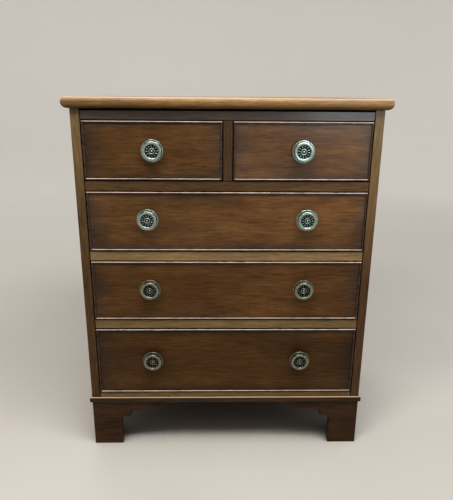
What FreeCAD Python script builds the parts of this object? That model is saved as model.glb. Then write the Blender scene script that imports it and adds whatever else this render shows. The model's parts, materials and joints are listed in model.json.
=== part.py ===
"""A small mahogany chest of two short and three long drawers on bracket feet.

Millimetres, +Z up, the front facing -Y. The origin is on the floor, at the middle of the
space that the whole chest takes up, knobs included.
"""
import FreeCAD
import Part
import Sketcher
import math
import os

SIZES = {
    # Case
    "case_width": 620.0,
    "case_depth": 420.0,
    "side_thick": 20.0,
    "frieze_height": 22.0,
    "rail_thick": 22.0,
    "rail_depth": 70.0,
    "rear_rail_depth": 50.0,
    "bottom_rail_height": 26.0,
    "bottom_thick": 16.0,
    "bottom_tongue": 6.0,
    "tenon_length": 10.0,
    "tenon_thick": 10.0,
    "tenon_shoulder": 10.0,
    "muntin_width": 21.0,
    "muntin_tenon": 8.0,
    "back_thick": 10.0,
    "back_rebate": 10.0,
    "back_joint": 0.5,
    # Top
    "top_thick": 22.0,
    "top_overhang": 13.0,
    "nosing_upper": 9.5,
    "nosing_flat": 1.5,
    "screw_bite": 13.0,
    "screw_radius": 2.5,
    "screw_head_radius": 5.0,
    "screw_head_height": 3.5,
    "screw_spread": 180.0,
    # Drawer openings
    "short_height": 119.0,
    "upper_height": 128.0,
    "middle_height": 136.0,
    "lower_height": 161.0,
    # Runners, guide and stops
    "runner_width": 24.0,
    "runner_housing": 4.0,
    "centre_width": 70.0,
    "guide_height": 16.0,
    "stop_length": 40.0,
    "stop_depth": 20.0,
    "stop_gap": 3.0,
    "stop_spread": 125.0,
    "short_stop_spread": 70.0,
    # Base moulding and feet
    "foot_height": 113.0,
    "foot_thick": 18.0,
    "leg_width": 65.0,
    "front_bracket": 170.0,
    "side_bracket": 140.0,
    "rear_bracket": 110.0,
    "foot_reach": 23.0,
    "foot_cove": 9.0,
    "foot_cusp": 16.0,
    "foot_fall": 5.5,
    "foot_round": 15.0,
    "foot_lip": 3.0,
    "block_size": 32.0,
    "block_lift": 6.0,
    "moulding_height": 13.0,
    "moulding_proud": 4.5,
    "moulding_round": 3.0,
    "moulding_arris": 1.2,
    # Drawers
    "side_gap": 1.0,
    "top_gap": 1.5,
    "front_lift": 1.0,
    "rear_gap": 10.0,
    "front_thick": 20.0,
    "lap_wall": 1.5,
    "drawer_side": 10.0,
    "drawer_back": 10.0,
    "side_drop": 3.0,
    "back_drop": 6.0,
    "panel_thick": 6.0,
    "panel_rise": 9.0,
    "panel_groove": 5.0,
    "tail_margin": 6.0,
    "pin_width": 8.0,
    "tail_slope": 6.0,
    "bead_thick": 3.5,
    "bead_set": 6.0,
    "bead_proud": 3.0,
    "bead_flat": 0.15,
    # Knobs
    "knob_spread": 164.5,
    "knob_rise": 7.0,
    "short_knob_rise": 1.5,
    "knob_projection": 22.0,
    "knob_radius": 22.3,
    "flange_front": 14.5,
    "flange_edge": 2.5,
    "rim_radius": 19.4,
    "rim_width": 5.8,
    "rim_crown": 1.6,
    "rim_hollow": 0.9,
    "recess_wall": 2.2,
    "boss_radius": 2.5,
    "boss_drop": 1.4,
    "collar_radius": 5.2,
    "collar_round": 0.9,
    "collar_wall": 0.6,
    "petal_half": 1.9,
    "petal_root": 0.6,
    "petal_gap": 0.5,
    "petal_height": 1.7,
    "plate_radius": 15.5,
    "plate_thick": 2.5,
    "plate_round": 1.2,
    "neck_radius": 7.5,
    "neck_length": 9.0,
    "neck_cove": 4.0,
    "stud_radius": 3.0,
    "stud_clearance": 0.25,
    "stud_tip": 2.0,
    "nut_radius": 8.0,
    "nut_thick": 5.0,
}
PETALS = 12
BACK_BOARDS = 3
NUT_SIDES = 4
TOUCH = 0.01

doc = FreeCAD.newDocument("chest")
nodes = []


def fill_sheet():
    """Put every driving size in the sheet, each under its own alias."""
    table = doc.addObject("Spreadsheet::Sheet", "Sizes")
    for row, (alias, value) in enumerate(SIZES.items(), start=1):
        table.set(f"A{row}", alias)
        table.set(f"B{row}", str(value))
        table.setAlias(f"B{row}", alias)
    doc.recompute()
    return table


sheet = fill_sheet()

# Planes and levels of the case, as expressions of the sizes
HALF = "(Sizes.case_width / 2)"
INNER = f"({HALF} - Sizes.side_thick)"
FRONT = "((Sizes.knob_projection - Sizes.case_depth) / 2)"
BACK = f"({FRONT} + Sizes.case_depth)"
BOARDED = f"({BACK} - Sizes.back_thick)"
RAIL_BACK = f"({FRONT} + Sizes.rail_depth)"
BASE = "Sizes.foot_height"
LOWER_FLOOR = f"({BASE} + Sizes.bottom_rail_height)"
LOWER_TOP = f"({LOWER_FLOOR} + Sizes.lower_height)"
MIDDLE_FLOOR = f"({LOWER_TOP} + Sizes.rail_thick)"
MIDDLE_TOP = f"({MIDDLE_FLOOR} + Sizes.middle_height)"
UPPER_FLOOR = f"({MIDDLE_TOP} + Sizes.rail_thick)"
UPPER_TOP = f"({UPPER_FLOOR} + Sizes.upper_height)"
SHORT_FLOOR = f"({UPPER_TOP} + Sizes.rail_thick)"
SHORT_TOP = f"({SHORT_FLOOR} + Sizes.short_height)"
CASE_TOP = f"({SHORT_TOP} + Sizes.frieze_height)"
SHORT_WIDTH = f"({INNER} - Sizes.muntin_width / 2)"
SHORT_CENTRE = f"(Sizes.muntin_width / 2 + {SHORT_WIDTH} / 2)"

TURN_X = FreeCAD.Rotation(FreeCAD.Vector(1, 0, 0), 90)
TURN_BACK = FreeCAD.Rotation(FreeCAD.Vector(1, 0, 0), -90)


def value_of(expression):
    """The number that an expression has at the sheet's present sizes."""
    return float(sheet.evalExpression(expression))


def bind(thing, **expressions):
    """Tie properties of an object to the sheet."""
    for name, expression in expressions.items():
        thing.setExpression(name, expression)


def place(thing, x, y, z, rotation=None):
    """Turn an object, then tie its position to the sheet."""
    if rotation is not None:
        thing.Placement = FreeCAD.Placement(FreeCAD.Vector(), rotation)
    for axis, expression in zip("xyz", (x, y, z)):
        thing.setExpression(f"Placement.Base.{axis}", expression)


def node(label, thing):
    """Name a finished sub-part, which is written to a file of that name."""
    thing.Label = label
    nodes.append(thing)
    return thing


def block(name, x, y, z):
    """A board, given by its two ends along each axis."""
    box = doc.addObject("Part::Box", name)
    place(box, x[0], y[0], z[0])
    for side, (low, high) in zip(("Length", "Width", "Height"), (x, y, z)):
        box.setExpression(side, f"({high}) - ({low})")
    return box


def span(hand, near, far):
    """Ends along X of a piece on the right (hand 1) or mirrored to the left (hand -1)."""
    if hand > 0:
        return near, far
    return f"-({far})", f"-({near})"


def cut(name, base, *tools):
    """The base with each tool taken out of it in turn."""
    for tool in tools:
        step = doc.addObject("Part::Cut", name)
        step.Base = base
        step.Tool = tool
        base = step
    base.Refine = True
    return base


def fuse(name, *pieces):
    """Several touching pieces as one solid."""
    joined = doc.addObject("Part::MultiFuse", name)
    joined.Shapes = list(pieces)
    joined.Refine = True
    return joined


def group(name, pieces):
    """Separate solids that share one node."""
    together = doc.addObject("Part::Compound", name)
    together.Links = list(pieces)
    return together


def origin_feature(body, role):
    """A plane or an axis of a body's own origin."""
    for feature in body.Origin.OriginFeatures:
        if feature.Role == role:
            return feature
    raise ValueError(role)


def arc_through(start, end, centre, turns_left):
    """An arc of a sketch from start to end, and which of its ends is which."""
    if not turns_left:
        start, end = end, start
    radius = (start - centre).Length
    first = math.atan2(start.y - centre.y, start.x - centre.x)
    last = math.atan2(end.y - centre.y, end.x - centre.x)
    if last <= first:
        last += 2 * math.pi
    circle = Part.Circle(centre, FreeCAD.Vector(0, 0, 1), radius)
    ends = (1, 2) if turns_left else (2, 1)
    return Part.ArcOfCircle(circle, first, last), ends


def outline(body, name, plane, corners, arcs=None):
    """A closed sketch on one of the body's origin planes.

    corners are pairs of expressions. arcs names the edges that are round, by the corner that
    each one leaves: the centre's two expressions, and whether the edge turns left.
    """
    arcs = arcs or {}
    sketch = body.newObject("Sketcher::SketchObject", name)
    sketch.AttachmentSupport = [(origin_feature(body, plane), "")]
    sketch.MapMode = "FlatFace"
    points = [FreeCAD.Vector(value_of(x), value_of(y), 0) for x, y in corners]
    edges = []
    for index, start in enumerate(points):
        end = points[(index + 1) % len(points)]
        if index in arcs:
            centre_x, centre_y, turns_left = arcs[index]
            centre = FreeCAD.Vector(value_of(centre_x), value_of(centre_y), 0)
            shape, ends = arc_through(start, end, centre, turns_left)
        else:
            shape, ends = Part.LineSegment(start, end), (1, 2)
        edges.append((sketch.addGeometry(shape, False), ends))
    for index, (edge, ends) in enumerate(edges):
        following, following_ends = edges[(index + 1) % len(edges)]
        joint = Sketcher.Constraint("Coincident", edge, ends[1], following, following_ends[0])
        sketch.addConstraint(joint)
    for index, (edge, ends) in enumerate(edges):
        for kind, expression in zip(("DistanceX", "DistanceY"), corners[index]):
            number = value_of(expression)
            tie = sketch.addConstraint(Sketcher.Constraint(kind, edge, ends[0], number))
            sketch.setExpression(f"Constraints[{tie}]", expression)
    for index, (centre_x, centre_y, _) in arcs.items():
        chord = points[(index + 1) % len(points)] - points[index]
        kind, expression = ("DistanceY", centre_y)
        if abs(chord.x) < abs(chord.y):
            kind, expression = ("DistanceX", centre_x)
        number = value_of(expression)
        tie = sketch.addConstraint(Sketcher.Constraint(kind, edges[index][0], 3, number))
        sketch.setExpression(f"Constraints[{tie}]", expression)
    return sketch


def pad(body, sketch, length, reverse=False):
    """Raise a sketch into a solid."""
    feature = body.newObject("PartDesign::Pad", "Pad")
    feature.Profile = sketch
    feature.Reversed = reverse
    bind(feature, Length=length)
    return feature


def through_pocket(body, sketch):
    """Cut a sketch upwards through the whole body, and make sure that it took something away."""
    doc.recompute()
    before = body.Shape.Volume
    feature = body.newObject("PartDesign::Pocket", "Pocket")
    feature.Profile = sketch
    feature.Type = "ThroughAll"
    feature.Reversed = True
    doc.recompute()
    if body.Shape.Volume >= before:
        raise RuntimeError(f"{body.Name}: the pocket cut nothing")
    return feature


def round_edges(body, name, base, radius, wanted):
    """Round the edges of a feature that the wanted test picks by their middle and direction."""
    doc.recompute()
    picked = []
    for number, edge in enumerate(base.Shape.Edges, start=1):
        middle = edge.CenterOfMass
        direction = edge.tangentAt(edge.FirstParameter)
        if wanted(middle, direction):
            picked.append(f"Edge{number}")
    feature = body.newObject("PartDesign::Fillet", name)
    feature.Base = (base, picked)
    bind(feature, Radius=radius)
    doc.recompute()
    return feature


def rail(label, depth, height, let_in=()):
    """A cross rail between the sides, with a stub tenon at each end and holes for what is let in."""
    pieces = [block("RailBoard", (f"-{INNER}", INNER), depth, height)]
    middle = f"(({height[0]}) + ({height[1]})) / 2"
    tenon_y = (f"{depth[0]} + Sizes.tenon_shoulder", f"{depth[1]} - Sizes.tenon_shoulder")
    tenon_z = (f"{middle} - Sizes.tenon_thick / 2", f"{middle} + Sizes.tenon_thick / 2")
    for hand in (-1, 1):
        reach = span(hand, INNER, f"{INNER} + Sizes.tenon_length")
        pieces.append(block("Tenon", reach, tenon_y, tenon_z))
    return node(label, cut("Rail", fuse("TenonedRail", *pieces), *let_in))


def make_top():
    """The top board, with its front edge and both ends rounded."""
    body = doc.addObject("PartDesign::Body", "TopBoard")
    half = f"({HALF} + Sizes.top_overhang)"
    near = f"({FRONT} - Sizes.top_overhang)"
    corners = [(f"-{half}", near), (half, near), (half, BACK), (f"-{half}", BACK)]
    board = pad(body, outline(body, "TopPlan", "XY_Plane", corners), "Sizes.top_thick")
    place(body, "0", "0", CASE_TOP)
    thick = value_of("Sizes.top_thick")
    rear = value_of(BACK)

    def upper(middle, direction):
        return middle.z > thick - TOUCH and middle.y < rear - TOUCH

    def lower(middle, direction):
        return middle.z < TOUCH and middle.y < rear - TOUCH

    lower_radius = "Sizes.top_thick - Sizes.nosing_upper - Sizes.nosing_flat"
    crowned = round_edges(body, "UpperNosing", board, "Sizes.nosing_upper", upper)
    round_edges(body, "LowerNosing", crowned, lower_radius, lower)
    return body


def make_screws():
    """Countersunk screws, up through the frieze rail and the rear top rail into the top."""
    rows = (f"{FRONT} + Sizes.rail_depth / 2", f"{BOARDED} - Sizes.rear_rail_depth / 2")
    screws = []
    for row in rows:
        for hand in (-1, 1):
            x = f"{hand} * Sizes.screw_spread"
            head = doc.addObject("Part::Cone", "ScrewHead")
            bind(head, Radius1="Sizes.screw_head_radius", Radius2="Sizes.screw_radius",
                 Height="Sizes.screw_head_height")
            place(head, x, row, SHORT_TOP)
            shank = doc.addObject("Part::Cylinder", "ScrewShank")
            length = "Sizes.frieze_height + Sizes.screw_bite - Sizes.screw_head_height"
            bind(shank, Radius="Sizes.screw_radius", Height=length)
            place(shank, x, row, f"{SHORT_TOP} + Sizes.screw_head_height")
            screws.append(fuse("Screw", head, shank))
    return screws


def make_back():
    """Upright back boards, side by side in the rebates of the sides."""
    reach = f"({INNER} + Sizes.back_rebate)"
    width = f"((2 * {reach} - {BACK_BOARDS - 1} * Sizes.back_joint) / {BACK_BOARDS})"
    boards = []
    for number in range(BACK_BOARDS):
        low = f"-{reach} + {number} * ({width} + Sizes.back_joint)"
        boards.append(block("BackBoard", (low, f"{low} + {width}"), (BOARDED, BACK), (BASE, CASE_TOP)))
    return group("BackBoards", boards)


def make_runners():
    """The strips that the drawers slide on: a pair at each level, and one in the middle on top."""
    under = f"({BASE} + Sizes.bottom_thick)"
    levels = [(under, LOWER_FLOOR), (LOWER_TOP, MIDDLE_FLOOR),
              (MIDDLE_TOP, UPPER_FLOOR), (UPPER_TOP, SHORT_FLOOR)]
    strips = []
    for level in levels:
        for hand in (-1, 1):
            reach = span(hand, f"{INNER} - Sizes.runner_width", f"{INNER} + Sizes.runner_housing")
            strips.append(block("Runner", reach, (RAIL_BACK, BOARDED), level))
    middle = ("-Sizes.centre_width / 2", "Sizes.centre_width / 2")
    strips.append(block("CentreRunner", middle, (RAIL_BACK, BOARDED), (UPPER_TOP, SHORT_FLOOR)))
    return group("Runners", strips)


def make_kickers():
    """The strips under the top that keep the short drawers from tipping."""
    depth = (RAIL_BACK, f"{BOARDED} - Sizes.rear_rail_depth")
    height = (SHORT_TOP, CASE_TOP)
    strips = [block("Kicker", ("-Sizes.centre_width / 2", "Sizes.centre_width / 2"), depth, height)]
    for hand in (-1, 1):
        reach = span(hand, f"{INNER} - Sizes.runner_width", INNER)
        strips.append(block("Kicker", reach, depth, height))
    return group("Kickers", strips)


def make_stops(drawers):
    """Two blocks behind each drawer front, under the drawer's bottom panel."""
    near = f"{FRONT} + Sizes.front_thick"
    depth = (near, f"{near} + Sizes.stop_depth")
    blocks = []
    for drawer in drawers:
        floor = drawer["floor"]
        height = (floor, f"{floor} + Sizes.panel_rise - Sizes.stop_gap")
        for hand in (-1, 1):
            middle = f"{drawer['centre']} + {hand} * {drawer['stops']}"
            reach = (f"{middle} - Sizes.stop_length / 2", f"{middle} + Sizes.stop_length / 2")
            blocks.append(block("Stop", reach, depth, height))
    return group("Stops", blocks)


def make_moulding(name, length):
    """A length of base moulding in its own frame: along +X, standing out towards -Y."""
    body = doc.addObject("PartDesign::Body", name)
    proud = "Sizes.moulding_proud"
    tall = "Sizes.moulding_height"
    hollow = "Sizes.moulding_round"
    arris = "Sizes.moulding_arris"
    corners = [
        ("0", "0"),
        (f"-({proud} - {hollow})", "0"),
        (f"-{proud}", hollow),
        (f"-{proud}", f"{tall} - {arris}"),
        (f"-({proud} - {arris})", tall),
        ("0", tall),
    ]
    arcs = {
        1: (f"-({proud} - {hollow})", hollow, False),
        3: (f"-({proud} - {arris})", f"{tall} - {arris}", False),
    }
    pad(body, outline(body, "Profile", "YZ_Plane", corners, arcs), length)
    return body


def front_moulding():
    """The front length, mitred at both ends."""
    proud = "Sizes.moulding_proud"
    body = make_moulding("FrontMoulding", f"Sizes.case_width + 2 * {proud}")
    far = f"(Sizes.case_width + 2 * {proud})"
    left = [("0", "0"), ("0", f"-{proud}"), (proud, "0")]
    right = [(far, "0"), (f"{far} - {proud}", "0"), (far, f"-{proud}")]
    through_pocket(body, outline(body, "LeftMitre", "XY_Plane", left))
    through_pocket(body, outline(body, "RightMitre", "XY_Plane", right))
    place(body, f"-{HALF} - {proud}", FRONT, BASE)
    return body


def side_moulding(hand):
    """A side length, mitred where it meets the front one and square at the back."""
    proud = "Sizes.moulding_proud"
    body = make_moulding("SideMoulding", f"Sizes.case_depth + {proud}")
    far = f"(Sizes.case_depth + {proud})"
    if hand > 0:
        mitre = [("0", "0"), ("0", f"-{proud}"), (proud, "0")]
        turn = FreeCAD.Rotation(FreeCAD.Vector(0, 0, 1), 90)
        start = f"{FRONT} - {proud}"
    else:
        mitre = [(far, "0"), (f"{far} - {proud}", "0"), (far, f"-{proud}")]
        turn = FreeCAD.Rotation(FreeCAD.Vector(0, 0, 1), -90)
        start = BACK
    through_pocket(body, outline(body, "Mitre", "XY_Plane", mitre))
    place(body, f"{hand} * {HALF}", start, BASE, turn)
    return body


def make_bracket(scrolled, length, left_hand):
    """One bracket of a foot in its own frame: its mitred corner at the origin, running along +X.

    A left-hand bracket is thick towards +Y, a right-hand one towards -Y.
    """
    body = doc.addObject("PartDesign::Body", "Bracket")
    leg = "Sizes.leg_width"
    top = "Sizes.foot_height"
    lip = f"({top} - Sizes.foot_lip)"
    corners = [("0", "0"), (leg, "0")]
    arcs = {}
    if scrolled:
        bulge = f"({length} - Sizes.foot_round)"
        under = f"({lip} - Sizes.foot_round)"
        ledge = f"({under} - Sizes.foot_fall)"
        cusp = f"({ledge} - Sizes.foot_cusp)"
        step = f"({leg} + Sizes.foot_reach)"
        cove = f"({leg} + Sizes.foot_cove)"
        spring = f"({cusp} - Sizes.foot_cove)"
        corners += [(leg, spring), (cove, cusp), (step, cusp), (step, ledge), (bulge, under)]
        arcs = {2: (cove, spring, False), 6: (bulge, lip, True)}
    corners += [(length, lip), (length, top), ("0", top)]
    thick = "Sizes.foot_thick"
    pad(body, outline(body, "Outline", "XZ_Plane", corners, arcs), thick, left_hand)
    side = thick if left_hand else f"-{thick}"
    mitre = [("0", "0"), (thick, side), ("0", side)]
    through_pocket(body, outline(body, "Mitre", "XY_Plane", mitre))
    return body


def make_foot(hand, at_front):
    """A bracket foot: two mitred brackets at one corner of the case."""
    corner_x = f"{hand} * {HALF}"
    corner_y = FRONT if at_front else BACK
    across_hand = (hand < 0) == at_front
    across_length = "Sizes.front_bracket" if at_front else "Sizes.rear_bracket"
    across = make_bracket(at_front, across_length, across_hand)
    along = make_bracket(True, "Sizes.side_bracket", not across_hand)
    up = FreeCAD.Vector(0, 0, 1)
    place(across, corner_x, corner_y, "0", FreeCAD.Rotation(up, 0 if hand < 0 else 180))
    place(along, corner_x, corner_y, "0", FreeCAD.Rotation(up, 90 if at_front else -90))
    return group("Foot", [across, along])


def make_foot_blocks():
    """Glue blocks in the inner corners of the feet."""
    blocks = []
    inside = f"{HALF} - Sizes.foot_thick"
    rows = [(f"{FRONT} + Sizes.foot_thick", f"{FRONT} + Sizes.foot_thick + Sizes.block_size"),
            (f"{BACK} - Sizes.foot_thick - Sizes.block_size", f"{BACK} - Sizes.foot_thick")]
    for depth in rows:
        for hand in (-1, 1):
            reach = span(hand, f"{inside} - Sizes.block_size", inside)
            blocks.append(block("GlueBlock", reach, depth, ("Sizes.block_lift", BASE)))
    return group("GlueBlocks", blocks)


def make_knob(x, z):
    """A turned knob with its back plate and stud, and in its recessed face a boss, a ring and petals.

    A thin round flange stands behind the raised rim of the face. The knob's own frame has the
    drawer's face at Y 0 and the knob standing out towards -Y.
    """
    body = doc.addObject("PartDesign::Body", "Knob")
    reach = "Sizes.knob_projection"
    half_rim = "(Sizes.rim_width / 2)"
    rim = f"({reach} - Sizes.rim_crown)"
    rim_curve = f"(({half_rim} * {half_rim} + Sizes.rim_crown * Sizes.rim_crown) / (2 * Sizes.rim_crown))"
    recess = f"({rim} - Sizes.recess_wall)"
    flange = "Sizes.knob_radius"
    lip = "(Sizes.flange_edge / 2)"
    ledge = "Sizes.flange_front"
    outer = "Sizes.rim_radius"
    hollow = "Sizes.rim_hollow"
    inner = "(Sizes.rim_radius - Sizes.rim_width)"
    boss = "Sizes.boss_radius"
    crown = f"({reach} - Sizes.boss_drop)"
    rise = f"({crown} - {recess})"
    boss_centre = f"({crown} - ({boss} * {boss} + {rise} * {rise}) / (2 * {rise}))"
    collar_inner = "(Sizes.collar_radius - Sizes.collar_round)"
    collar_outer = "(Sizes.collar_radius + Sizes.collar_round)"
    collar_level = f"({recess} + Sizes.collar_wall)"
    neck = "Sizes.neck_radius"
    plate = "Sizes.plate_thick"
    cove = "Sizes.neck_cove"
    edge = "Sizes.plate_radius"
    soft = "Sizes.plate_round"
    stud = "Sizes.stud_radius"
    end = "(Sizes.front_thick + Sizes.nut_thick + Sizes.stud_tip)"
    corners = [
        ("0", f"-{crown}"),
        (boss, f"-{recess}"),
        (collar_inner, f"-{recess}"),
        (collar_inner, f"-{collar_level}"),
        (collar_outer, f"-{collar_level}"),
        (collar_outer, f"-{recess}"),
        (inner, f"-{recess}"),
        (inner, f"-{rim}"),
        (outer, f"-{rim}"),
        (outer, f"-({ledge} + {hollow})"),
        (f"{outer} + {hollow}", f"-{ledge}"),
        (f"{flange} - {lip}", f"-{ledge}"),
        (f"{flange} - {lip}", f"-({ledge} - 2 * {lip})"),
        (neck, f"-({plate} + Sizes.neck_length)"),
        (neck, f"-({plate} + {cove})"),
        (f"{neck} + {cove}", f"-{plate}"),
        (f"{edge} - {soft}", f"-{plate}"),
        (edge, f"-({plate} - {soft})"),
        (edge, "0"),
        (stud, "0"),
        (stud, end),
        ("0", end),
    ]
    arcs = {
        0: ("0", f"-{boss_centre}", True),
        3: ("Sizes.collar_radius", f"-{collar_level}", True),
        7: (f"{inner} + {half_rim}", f"-({reach} - {rim_curve})", True),
        9: (f"{outer} + {hollow}", f"-({ledge} + {hollow})", False),
        11: (f"{flange} - {lip}", f"-({ledge} - {lip})", True),
        14: (f"{neck} + {cove}", f"-({plate} + {cove})", False),
        16: (f"{edge} - {soft}", f"-({plate} - {soft})", True),
    }
    profile = outline(body, "Profile", "XY_Plane", corners, arcs)
    turned = body.newObject("PartDesign::Revolution", "Turned")
    turned.Profile = profile
    turned.ReferenceAxis = (profile, ["V_Axis"])
    turned.Angle = 360
    half = "Sizes.petal_half"
    tip = f"({inner} - Sizes.petal_gap - {half})"
    root = f"({collar_outer} + Sizes.petal_gap)"
    petal_corners = [("-Sizes.petal_root", root), ("Sizes.petal_root", root), (half, tip), (f"-{half}", tip)]
    petal_sketch = outline(body, "Petal", "XZ_Plane", petal_corners, {2: ("0", tip, True)})
    petal_sketch.setExpression("AttachmentOffset.Base.z", recess)
    petal = pad(body, petal_sketch, "Sizes.petal_height")
    flower = body.newObject("PartDesign::PolarPattern", "Flower")
    flower.Originals = [petal]
    flower.Axis = (origin_feature(body, "Y_Axis"), [""])
    flower.Angle = 360
    flower.Occurrences = PETALS
    body.Tip = flower
    place(body, x, FRONT, z)
    return body


def rod(name, radius, length, x, y, z):
    """A round rod from a point towards the back."""
    cylinder = doc.addObject("Part::Cylinder", name)
    bind(cylinder, Radius=radius, Height=length)
    place(cylinder, x, y, z, TURN_BACK)
    return cylinder


def make_nut(x, z):
    """The square nut that holds a knob's stud inside the drawer."""
    prism = doc.addObject("Part::Prism", "NutBlank")
    prism.Polygon = NUT_SIDES
    bind(prism, Circumradius="Sizes.nut_radius", Height="Sizes.nut_thick")
    seat = f"{FRONT} + Sizes.front_thick"
    place(prism, x, seat, z, TURN_BACK)
    bore = rod("NutBore", "Sizes.stud_radius + Sizes.stud_clearance", "Sizes.nut_thick", x, seat, z)
    return cut("Nut", prism, bore)


def make_tails(x, near, far, low, high, count, wide_in_front):
    """A row of dovetails at one end of a drawer side, wide at their outer ends."""
    pitch = f"(({high}) - ({low})) / {count}"
    wide = f"({pitch} - Sizes.pin_width)"
    length = f"(({far}) - ({near}))"
    flare = f"({length} / Sizes.tail_slope)"
    outer = ("0", wide)
    root = (flare, f"{wide} - {flare}")
    front, rear = (outer, root) if wide_in_front else (root, outer)
    tails = []
    for number in range(count):
        tail = doc.addObject("Part::Wedge", "Tail")
        bind(tail, Xmin="0", X2min="0", Xmax="Sizes.drawer_side", X2max="Sizes.drawer_side",
             Ymin="0", Ymax=length, Zmin=front[0], Zmax=front[1], Z2min=rear[0], Z2max=rear[1])
        place(tail, x, near, f"{low} + {number} * {pitch} + Sizes.pin_width / 2")
        tails.append(tail)
    return tails


def make_bead(left, right, bottom, top):
    """Four mitred strips with a rounded nose, let into the edges of a drawer front."""
    thick = "Sizes.bead_thick"
    depth = "(Sizes.bead_set + Sizes.bead_proud)"
    across = f"(({right}) - ({left}))"
    upright = f"(({top}) - ({bottom}))"
    rear = f"{FRONT} + Sizes.bead_set"
    runs = [(across, left, bottom, 0), (across, right, top, 180),
            (upright, left, top, 90), (upright, right, bottom, -90)]
    strips = []
    for length, x, z, angle in runs:
        body = doc.addObject("PartDesign::Body", "Bead")
        strip = body.newObject("PartDesign::AdditiveWedge", "Strip")
        bind(strip, Xmin="0", Xmax=length, X2min=thick, X2max=f"{length} - {thick}",
             Ymin="0", Ymax=thick, Zmin="0", Zmax=depth, Z2min="0", Z2max=depth)
        nose = value_of(depth)

        def at_nose(middle, direction):
            return middle.z > nose - TOUCH and abs(direction.x) > 1 - TOUCH

        round_edges(body, "Nose", strip, f"{thick} / 2 - Sizes.bead_flat", at_nose)
        around = FreeCAD.Rotation(FreeCAD.Vector(0, 1, 0), angle)
        place(body, x, rear, z, around.multiply(TURN_X))
        strips.append(body)
    return group("CockBead", strips)


def make_drawer(drawer):
    """One drawer: front, bead, dovetailed sides and back, bottom panel, knobs and nuts."""
    name = drawer["name"]
    floor = drawer["floor"]
    left = f"({drawer['centre']} - {drawer['width']} / 2 + Sizes.side_gap)"
    right = f"({drawer['centre']} + {drawer['width']} / 2 - Sizes.side_gap)"
    bottom = f"({floor} + Sizes.front_lift)"
    top = f"({floor} + {drawer['height']} - Sizes.top_gap)"
    side_top = f"({top} - Sizes.side_drop)"
    back_top = f"({side_top} - Sizes.back_drop)"
    behind = f"({FRONT} + Sizes.front_thick)"
    lap = f"({FRONT} + Sizes.bead_set + Sizes.lap_wall)"
    rear = f"({BOARDED} - Sizes.rear_gap)"
    back_face = f"({rear} - Sizes.drawer_back)"
    panel_low = f"({floor} + Sizes.panel_rise)"
    panel_top = f"({panel_low} + Sizes.panel_thick)"
    groove = "(Sizes.drawer_side - Sizes.panel_groove)"

    panel = block("Panel", (f"{left} + {groove}", f"{right} - {groove}"),
                  (f"{behind} - Sizes.panel_groove", rear), (panel_low, panel_top))
    bead = make_bead(left, right, bottom, top)
    sides = {}
    front_tails = []
    back_tails = []
    for hand, x in (("left", left), ("right", f"({right} - Sizes.drawer_side)")):
        board = block("Side", (x, f"{x} + Sizes.drawer_side"), (behind, rear), (floor, side_top))
        tails = make_tails(x, lap, behind, f"({bottom} + Sizes.tail_margin)",
                           f"({side_top} - Sizes.tail_margin)", drawer["tails"], True)
        front_tails += tails
        back_tails += make_tails(x, back_face, rear, f"({panel_top} + Sizes.tail_margin)",
                                 f"({back_top} - Sizes.tail_margin)", drawer["tails"], False)
        sides[hand] = fuse("TailedSide", board, *tails)
    back_board = block("Back", (left, right), (back_face, rear), (panel_top, back_top))
    back_board = cut("DovetailedBack", back_board, group("BackTails", back_tails))

    middle = f"({floor} + {drawer['height']} / 2 + {drawer['rise']})"
    knobs = []
    nuts = []
    holes = []
    for x in drawer["knobs"]:
        knobs.append(make_knob(x, middle))
        nuts.append(make_nut(x, middle))
        holes.append(rod("StudHole", "Sizes.stud_radius + Sizes.stud_clearance", "Sizes.front_thick",
                         x, FRONT, middle))

    face = block("Front", (left, right), (FRONT, behind), (bottom, top))
    face = cut("DrawerFront", face, bead, group("FrontTails", front_tails), panel, *holes)
    node(f"{name}_front", face)
    node(f"{name}_cock_bead", bead)
    for hand, board in sides.items():
        node(f"{name}_{hand}_side", cut("DrawerSide", board, back_board, panel))
    node(f"{name}_back", back_board)
    node(f"{name}_bottom", panel)
    node(f"{name}_knobs", group("Knobs", knobs + nuts))


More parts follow.
